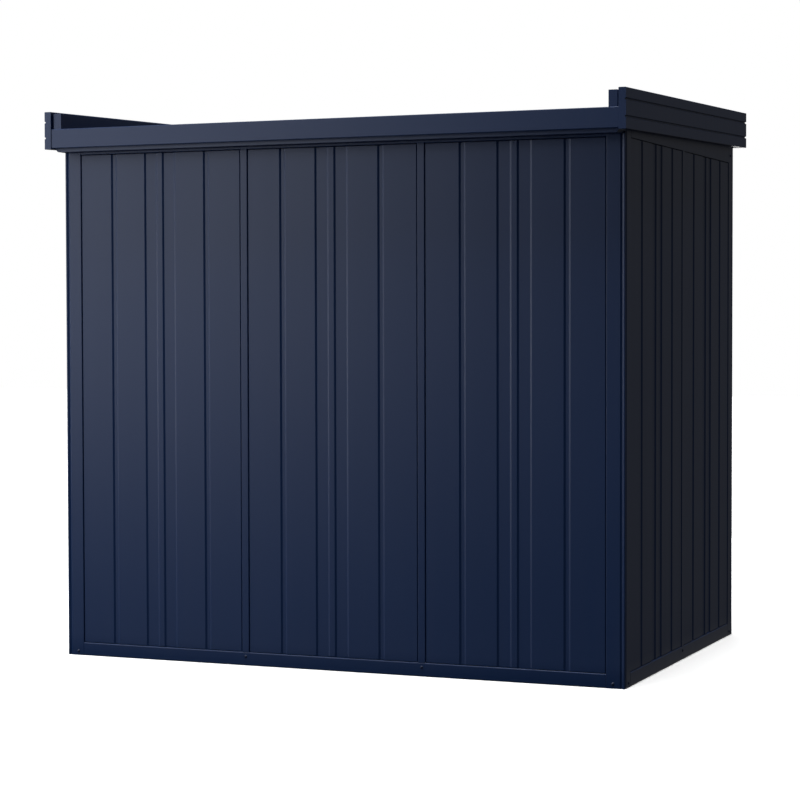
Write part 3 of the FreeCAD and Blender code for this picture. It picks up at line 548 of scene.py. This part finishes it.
def shells(node):
    """The box, as its low and high corner, of each closed shell in a CAD node."""
    shape = bmesh.new()
    shape.from_mesh(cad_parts[node].data)
    bmesh.ops.remove_doubles(shape, verts=shape.verts, dist=MERGE)
    boxes = []
    left = set(shape.verts)
    while left:
        found = [left.pop()]
        for vertex in found:
            for edge in vertex.link_edges:
                other = edge.other_vert(vertex)
                if other in left:
                    left.remove(other)
                    found.append(other)
        corners = [[pick_out(vertex.co[axis] for vertex in found) for axis in range(3)]
                   for pick_out in (min, max)]
        boxes.append((Vector(corners[0]), Vector(corners[1])))
    shape.free()
    return sorted(boxes, key=lambda box: tuple(box[0]))


def landing(node, place, inwards):
    """Where a CAD node is met from just outside a place."""
    hit, met, _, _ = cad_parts[node].ray_cast(place - inwards * STAND_OFF, inwards)
    if not hit:
        raise RuntimeError("nothing of " + node + " lies under the screw")
    return met


def dome(name, radius, height):
    """A low dome that stands on the origin."""
    cap = begin("cylinder", name, vertices=32, radius=radius, depth=height, location=(0, 0, height / 2))
    pick(cap, facing(UP))
    bpy.ops.mesh.bevel(offset=height * 0.9, segments=5, affect="EDGES", profile=0.5)
    leave_edit()
    return cap


def roof_screw(options):
    """A hexagon-headed screw on a wide washer, standing on the origin."""
    washer, across = options.roof_washer, options.roof_screw
    screw = begin("cylinder", "roof_screw", vertices=24, radius=washer, depth=washer * 0.25,
                  location=(0, 0, washer * 0.125))
    pick(screw, facing(UP))
    bpy.ops.mesh.inset(thickness=washer * 0.22, depth=washer * 0.10)
    leave_edit()
    head = begin("cylinder", "hexagon", vertices=6, radius=across / math.sqrt(3.0), depth=across * 0.7,
                 location=(0, 0, washer * 0.25 + across * 0.35))
    pick(head, facing(UP))
    bpy.ops.mesh.bevel(offset=across * 0.08, segments=2, affect="EDGES")
    leave_edit()
    bpy.ops.object.select_all(action="DESELECT")
    for part in (screw, head):
        part.select_set(True)
    bpy.context.view_layer.objects.active = screw
    bpy.ops.object.join()
    return screw


def pan_head(options):
    """A pan-head screw with a hexagon socket, standing on the origin."""
    radius, height = options.screw_radius, options.screw_height
    head = begin("cylinder", "pan_head", vertices=24, radius=radius, depth=height,
                 location=(0, 0, height / 2))
    pick(head, facing(UP))
    bpy.ops.mesh.bevel(offset=height * 0.55, segments=3, affect="EDGES", profile=0.6)
    leave_edit()
    socket = begin("cylinder", "socket", vertices=6, radius=radius * 0.42, depth=height,
                   location=(0, 0, height * 0.95))
    leave_edit()
    cut_with(head, socket)
    return head


# ---- The operators -----------------------------------------------------------------------
finishes = {}


class STORE_OT_finishes(bpy.types.Operator):
    """Paint, plate and plastic on every piece of the frame"""

    bl_idname = "store.finishes"
    bl_label = "Finishes"

    def execute(self, context):
        finishes.update(make_finishes())
        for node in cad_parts.values():
            for slot in node.material_slots:
                slot.material = finishes[slot.material.name.split(".")[0]]
        return {"FINISHED"}


class STORE_OT_lever_handle(bpy.types.Operator):
    """A lever on each face of the door, on one spindle"""

    bl_idname = "store.lever_handle"
    bl_label = "Lever handle"

    def execute(self, context):
        options = context.scene.store_fittings
        low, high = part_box("door_handle")
        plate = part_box("escutcheon")[0].y
        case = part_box("lock_case")[1].y
        spindle = Vector((low.x + options.spindle_place, 0.0, (low.z + high.z) / 2))
        outer = self.lever(options, spindle, plate, low.y, high.x)
        inner = self.lever(options, spindle, case, high.y, high.x)
        square = options.spindle_width
        spine = begin("cube", "spindle", size=1.0, location=(spindle.x, (plate + case) / 2, spindle.z),
                      scale=(square, case - plate, square))
        leave_edit()
        bpy.ops.object.select_all(action="DESELECT")
        for part in (outer, inner, spine):
            part.select_set(True)
        bpy.context.view_layer.objects.active = outer
        bpy.ops.object.join()
        outer.name = "lever_handle"
        settle(outer, "handle", "satin_steel", smooth=60.0)
        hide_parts("door_handle")
        return {"FINISHED"}

    def lever(self, options, spindle, root, tip, end):
        """One lever: neck, elbow and a grip that turns back towards the door."""
        side = 1 if tip > root else -1
        grip = options.lever_depth
        neck = abs(tip - root) - grip
        width = options.lever_width
        face = Vector((0, side, 0))
        lever = begin("cube", "lever", size=1.0, location=(spindle.x, root + side * neck / 4, spindle.z),
                      scale=(width, neck / 2, width))
        pick(lever, facing(face))
        bpy.ops.transform.resize(value=(0.86, 1.0, 0.86))
        pull(0, side * neck / 2, 0)
        pull(0, side * grip * 0.94, 0)
        reach = end - spindle.x - width / 2
        pick(lever, lambda f: f.normal.x > 0.9
             and (self.world_y(lever, f) - root) * side > neck * 0.97)
        for step, shrink in ((0.16, 1.0), (0.34, 0.92), (0.30, 0.96), (0.14, 0.98)):
            pull(reach * step, 0, 0)
            bpy.ops.transform.resize(value=(1.0, 1.0, shrink))
        pull(reach * 0.06, -side * options.lever_return * 0.15, 0)
        leave_edit()
        modify(lever, "BEVEL", width=options.lever_round, segments=2, limit_method="ANGLE",
               angle_limit=math.radians(40.0))
        modify(lever, "SUBSURF", levels=2, render_levels=2)
        return lever

    @staticmethod
    def world_y(piece, face):
        """Y of a face's middle in the frame."""
        return (piece.matrix_world @ face.calc_center_median()).y


class STORE_OT_key_plug(bpy.types.Operator):
    """The lock's turning plug with its keyway"""

    bl_idname = "store.key_plug"
    bl_label = "Key plug"

    def execute(self, context):
        options = context.scene.store_fittings
        low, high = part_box("lock_plug")
        centre = (low + high) / 2
        radius = (high.x - low.x) / 2
        plug = begin("cylinder", "key_plug", vertices=48, radius=radius, depth=high.y - low.y,
                     location=centre, rotation=(math.radians(90.0), 0, 0))
        outwards = facing(plug.matrix_world.to_3x3().inverted() @ OUT)
        pick(plug, outwards)
        bpy.ops.mesh.bevel(offset=options.plug_round, segments=3, affect="EDGES")
        pick(plug, outwards)
        bpy.ops.mesh.inset(thickness=options.plug_rim, depth=-options.plug_recess)
        leave_edit()
        keyway = begin("cube", "keyway", size=1.0, location=(centre.x, low.y, centre.z),
                       scale=(options.keyway_width, 2 * options.keyway_depth, options.keyway_height))
        leave_edit()
        cut_with(plug, keyway)
        settle(plug, "lock_plug", "satin_steel")
        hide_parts("lock_plug")
        return {"FINISHED"}


class STORE_OT_plate_screws(bpy.types.Operator):
    """Screws of the escutcheon and of the lock case"""

    bl_idname = "store.plate_screws"
    bl_label = "Plate screws"

    def execute(self, context):
        options = context.scene.store_fittings
        low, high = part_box("escutcheon")
        inset = options.plate_inset
        places = [Vector(((low.x + high.x) / 2, low.y, z)) for z in (low.z + inset, high.z - inset)]
        screws = repeat(pan_head(options), "escutcheon_screws", [at(place, OUT) for place in places])
        settle(screws, "active_door", "satin_steel")
        low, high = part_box("lock_case")
        inset = options.case_inset
        places = [Vector((x, high.y, z)) for x in (low.x + inset, high.x - inset)
                  for z in (low.z + inset, high.z - inset)]
        screws = repeat(pan_head(options), "lock_case_screws", [at(place, -OUT) for place in places])
        settle(screws, "active_door", "zinc_steel")
        return {"FINISHED"}


class STORE_OT_hinge_screws(bpy.types.Operator):
    """Three screws through each flap of every hinge, and a dome on each knuckle"""

    bl_idname = "store.hinge_screws"
    bl_label = "Hinge screws"

    def execute(self, context):
        options = context.scene.store_fittings
        for word, body in (("frame", "shed"), ("active", "active_door"), ("passive", "passive_door")):
            self.half(options, word, body)
        return {"FINISHED"}

    def half(self, options, word, body):
        """The screws and domes of the hinge halves that one body carries."""
        node = word + "_hinge_halves"
        screws, domes = [], []
        for low, high in shells(node):
            on_frame = word == "frame"
            flap_right = (low.x > 0) == on_frame
            side = 1 if flap_right else -1
            free, knuckle = (high.x, low.x) if flap_right else (low.x, high.x)
            for part in FLAP_SCREWS:
                place = Vector((free - side * options.screw_inset, low.y, low.z + (high.z - low.z) * part))
                screws.append(at(landing(node, place, -OUT), OUT))
            way = -UP if on_frame else UP
            end = low.z if on_frame else high.z
            axis = Vector((knuckle + side * options.knuckle, low.y + options.knuckle, end))
            domes.append(at(axis, way))
        settle(repeat(pan_head(options), word + "_hinge_screws", screws), body, "zinc_steel")
        cap = dome("knuckle_dome", options.knuckle, options.cap_height)
        settle(repeat(cap, word + "_hinge_domes", domes), body, "hinge_paint")


class STORE_OT_roof_screws(bpy.types.Operator):
    """Screws with washers where the roof sheets cross the beams and the end rails"""

    bl_idname = "store.roof_screws"
    bl_label = "Roof screws"

    def execute(self, context):
        options = context.scene.store_fittings
        beam_low, beam_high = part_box("roof_beams")
        inset = options.roof_inset
        for word in ("left", "middle", "right"):
            node = "roof_sheet_" + word
            low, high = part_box(node)
            rows = (low.y + inset, beam_low.y + inset, beam_high.y - inset, high.y - inset)
            places = []
            for y in rows:
                for rib in range(1, ROOF_RIBS):
                    place = Vector((low.x + (high.x - low.x) * rib / ROOF_RIBS, y, high.z))
                    places.append(at(landing(node, place, -UP)))
            screws = repeat(roof_screw(options), node + "_screws", places)
            settle(screws, "shed", "zinc_steel")
        return {"FINISHED"}


class STORE_OT_studio(bpy.types.Operator):
    """Pale floor, soft lights, white surroundings and the camera"""

    bl_idname = "store.studio"
    bl_label = "Studio"

    def execute(self, context):
        options = context.scene.store_studio
        context.scene.view_settings.view_transform = "Standard"
        self.floor(options)
        self.lights(options)
        self.surroundings(context, options)
        self.camera(context, options)
        return {"FINISHED"}

    def floor(self, options):
        """A wide pale floor that throws no light back at the walls and is brighter round them."""
        floor = begin("plane", "studio_floor", size=options.floor_size, location=(0, 0, 0))
        leave_edit()
        finish = Finish("studio_floor_finish")
        cloud = finish.noise(0.6, detail=3.0)
        tone = finish.mix((0.90, 0.90, 0.90), (0.92, 0.92, 0.92), cloud)
        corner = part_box("corner_post_rear_left")
        outside = (finish.beyond("X", abs(corner[0].x), options.floor_fade)
                   + finish.beyond("Y", corner[1].y, options.floor_fade)).clamped()
        floor.data.materials.append(finish.surface(
            Base_Color=tone,
            Roughness=0.9,
            Emission_Color=finish.mix((0.0, 0.0, 0.0), tone, outside),
            Emission_Strength=options.floor_glow,
        ))
        floor.visible_diffuse = False
        floor.visible_glossy = False

    def lights(self, options):
        """A soft box at the rear, a light along the rear wall, a fill and an overhead light."""
        for name in ("key", "edge", "fill"):
            lamp = self.light(name + "_light", "AREA", getattr(options, name + "_place"),
                              getattr(options, name + "_aim"))
            lamp.energy = getattr(options, name + "_power")
            lamp.size = getattr(options, name + "_size")
        top = self.light("top_light", "SUN", options.top_place, (0.0, 0.0, 0.0))
        top.energy = options.top_strength
        top.angle = options.top_angle

    @staticmethod
    def light(name, kind, place, target):
        """A light at a place, aimed at a target."""
        data = bpy.data.lights.new(name, kind)
        lamp = bpy.data.objects.new(name, data)
        lamp.location = place
        lamp.rotation_euler = (Vector(target) - Vector(place)).to_track_quat("-Z", "Y").to_euler()
        lamp.visible_camera = False
        bpy.context.scene.collection.objects.link(lamp)
        return data

    def surroundings(self, context, options):
        """White where the camera looks past the object, dim where the object looks."""
        world = bpy.data.worlds.new("studio_world")
        world.use_nodes = True
        context.scene.world = world
        nodes = Nodes(world.node_tree)
        way = nodes.add("ShaderNodeTexCoord", output="Generated")
        towards = Vector(options.bright_way).normalized()
        share_of = nodes.add("ShaderNodeVectorMath", {"operation": "DOT_PRODUCT"}, {0: way, 1: towards},
                             output="Value")
        glow = nodes.ramp(share_of * 0.5 + 0.5, (0.0, 0.0), (1.0, 1.0)) * options.surroundings
        seen = nodes.add("ShaderNodeLightPath", output="Is Camera Ray")
        light = nodes.mix((0.0, 0.0, 0.0), (1.0, 1.0, 1.0), (glow * (1.0 - seen) + seen).clamped())
        shader = nodes.add("ShaderNodeBackground", {}, {"Color": light, "Strength": 1.0})
        nodes.add("ShaderNodeOutputWorld", {}, {"Surface": shader})

    def camera(self, context, options):
        """The camera, from its place and its three turns."""
        yaw, pitch, roll = options.camera_yaw, options.camera_pitch, options.camera_roll
        ahead = Vector((math.sin(yaw) * math.cos(pitch), -math.cos(yaw) * math.cos(pitch), -math.sin(pitch)))
        right = Vector((-math.cos(yaw), -math.sin(yaw), 0.0))
        down = ahead.cross(right)
        across = right * math.cos(roll) + down * math.sin(roll)
        below = down * math.cos(roll) - right * math.sin(roll)
        turn = Matrix((across, -below, -ahead)).transposed().to_4x4()
        data = bpy.data.cameras.new("camera")
        data.lens = options.camera_lens
        data.shift_x, data.shift_y = options.camera_shift
        data.clip_end = FAR
        camera = bpy.data.objects.new("camera", data)
        camera.matrix_world = Matrix.Translation(Vector(options.camera_place)) @ turn
        context.scene.collection.objects.link(camera)
        context.scene.camera = camera


steps = (
    STORE_OT_finishes,
    STORE_OT_lever_handle,
    STORE_OT_key_plug,
    STORE_OT_plate_screws,
    STORE_OT_hinge_screws,
    STORE_OT_roof_screws,
    STORE_OT_studio,
)


class STORE_PT_panel(bpy.types.Panel):
    """Lists every step in the order that they run"""

    bl_idname = "STORE_PT_panel"
    bl_label = "Panel store"
    bl_space_type = "VIEW_3D"
    bl_region_type = "UI"
    bl_category = "Store"

    def draw(self, context):
        for step in steps:
            self.layout.operator(step.bl_idname)
        for group in (context.scene.store_finishes, context.scene.store_fittings,
                      context.scene.store_studio):
            box = self.layout.box()
            for name in group.__annotations__:
                box.prop(group, name)


groups = {"store_finishes": StoreFinishes, "store_fittings": StoreFittings, "store_studio": StoreStudio}


def register():
    for group in (*groups.values(), *steps, STORE_PT_panel):
        bpy.utils.register_class(group)
    for name, group in groups.items():
        setattr(bpy.types.Scene, name, PointerProperty(type=group))


def unregister():
    for name in groups:
        delattr(bpy.types.Scene, name)
    for group in (STORE_PT_panel, *steps, *groups.values()):
        bpy.utils.unregister_class(group)


def main():
    register()
    for step in steps:
        name = step.bl_idname.split(".")[1]
        getattr(bpy.ops.store, name)()


if __name__ == "__main__":
    main()
